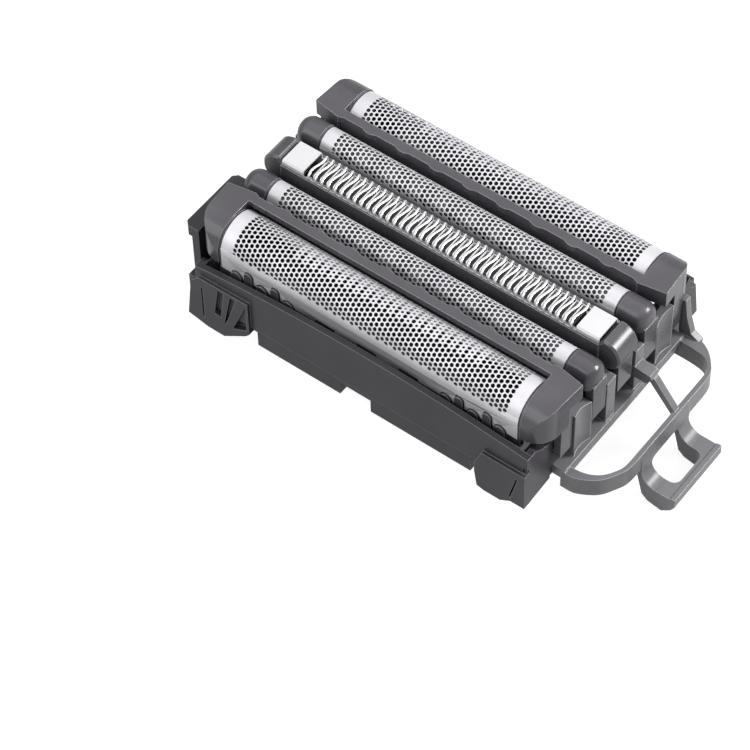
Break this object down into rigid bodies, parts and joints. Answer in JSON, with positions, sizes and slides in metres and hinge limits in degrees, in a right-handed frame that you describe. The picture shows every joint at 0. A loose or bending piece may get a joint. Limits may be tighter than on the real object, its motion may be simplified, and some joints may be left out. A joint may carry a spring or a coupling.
{
  "type": "shaver foil head",
  "caption": "Long shaver foil head: perforated outer foils, narrow middle foils and a slit comb float in a dark plastic base with a finger loop and hook tab at one end.",
  "frame": {"origin": "centre of the base in plan, at the level of the four corner feet", "axes": "+X along the foils towards the loop and tab, +Y across the rows, +Z out of the foils, away from the shaver"},
  "size_m": [0.0662, 0.037, 0.022],
  "materials": {
    "base_plastic": "satin moulded",
    "loop_plastic": "satin moulded",
    "carrier_plastic": "satin moulded",
    "slider_plastic": "plain moulded",
    "foil_steel": "bright foil with fine holes",
    "comb_steel": "bright ground",
    "blade_steel": "ground edge",
    "spring_steel": "drawn wire"
  },
  "bodies": {
    "base": {"base_frame": "base_plastic", "spring_tray": "base_plastic", "end_loop": "loop_plastic", "mid_front_spring_left": "spring_steel", "mid_front_spring_right": "spring_steel", "comb_spring_left": "spring_steel", "comb_spring_right": "spring_steel", "mid_rear_spring_left": "spring_steel", "mid_rear_spring_right": "spring_steel"},
    "front_cassette": {"front_carrier": "carrier_plastic", "front_foil": "foil_steel"},
    "rear_cassette": {"rear_carrier": "carrier_plastic", "rear_foil": "foil_steel"},
    "mid_front_unit": {"mid_front_carrier": "carrier_plastic", "mid_front_foil": "foil_steel"},
    "comb_unit": {"comb_holder": "carrier_plastic", "slit_comb": "comb_steel"},
    "mid_rear_unit": {"mid_rear_carrier": "carrier_plastic", "mid_rear_foil": "foil_steel"},
    "mid_front_blade": {"mid_front_cutter": "blade_steel", "mid_front_cutter_holder": "slider_plastic"},
    "comb_blade": {"comb_cutter": "blade_steel", "comb_cutter_holder": "slider_plastic"},
    "mid_rear_blade": {"mid_rear_cutter": "blade_steel", "mid_rear_cutter_holder": "slider_plastic"},
    "drive_slide": {"drive_slider": "slider_plastic"}
  },
  "joints": [
    {"name": "front_float", "type": "slide", "parent": "base", "child": "front_cassette", "axis": [0, 0, 1], "range_m": [0, 0.001]},
    {"name": "rear_float", "type": "slide", "parent": "base", "child": "rear_cassette", "axis": [0, 0, 1], "range_m": [0, 0.001]},
    {"name": "mid_front_float", "type": "slide", "parent": "base", "child": "mid_front_unit", "axis": [0, 0, 1], "range_m": [-0.0014, 0], "stiffness_N_per_m": 300, "springref_m": 0.003, "deforming": ["mid_front_spring_left", "mid_front_spring_right"]},
    {"name": "comb_float", "type": "slide", "parent": "base", "child": "comb_unit", "axis": [0, 0, 1], "range_m": [-0.0014, 0], "stiffness_N_per_m": 300, "springref_m": 0.003, "deforming": ["comb_spring_left", "comb_spring_right"]},
    {"name": "mid_rear_float", "type": "slide", "parent": "base", "child": "mid_rear_unit", "axis": [0, 0, 1], "range_m": [-0.0014, 0], "stiffness_N_per_m": 300, "springref_m": 0.003, "deforming": ["mid_rear_spring_left", "mid_rear_spring_right"]},
    {"name": "drive_stroke", "type": "slide", "parent": "base", "child": "drive_slide", "axis": [1, 0, 0], "range_m": [-0.001, 0.001]},
    {"name": "mid_front_stroke", "type": "slide", "parent": "mid_front_unit", "child": "mid_front_blade", "axis": [1, 0, 0], "range_m": [-0.001, 0.001]},
    {"name": "comb_stroke", "type": "slide", "parent": "comb_unit", "child": "comb_blade", "axis": [1, 0, 0], "range_m": [-0.001, 0.001]},
    {"name": "mid_rear_stroke", "type": "slide", "parent": "mid_rear_unit", "child": "mid_rear_blade", "axis": [1, 0, 0], "range_m": [-0.001, 0.001]}
  ],
  "couplings": [
    {"joint": "mid_front_stroke", "follows": "drive_stroke", "ratio": 1},
    {"joint": "comb_stroke", "follows": "drive_stroke", "ratio": 1},
    {"joint": "mid_rear_stroke", "follows": "drive_stroke", "ratio": 1}
  ]
}
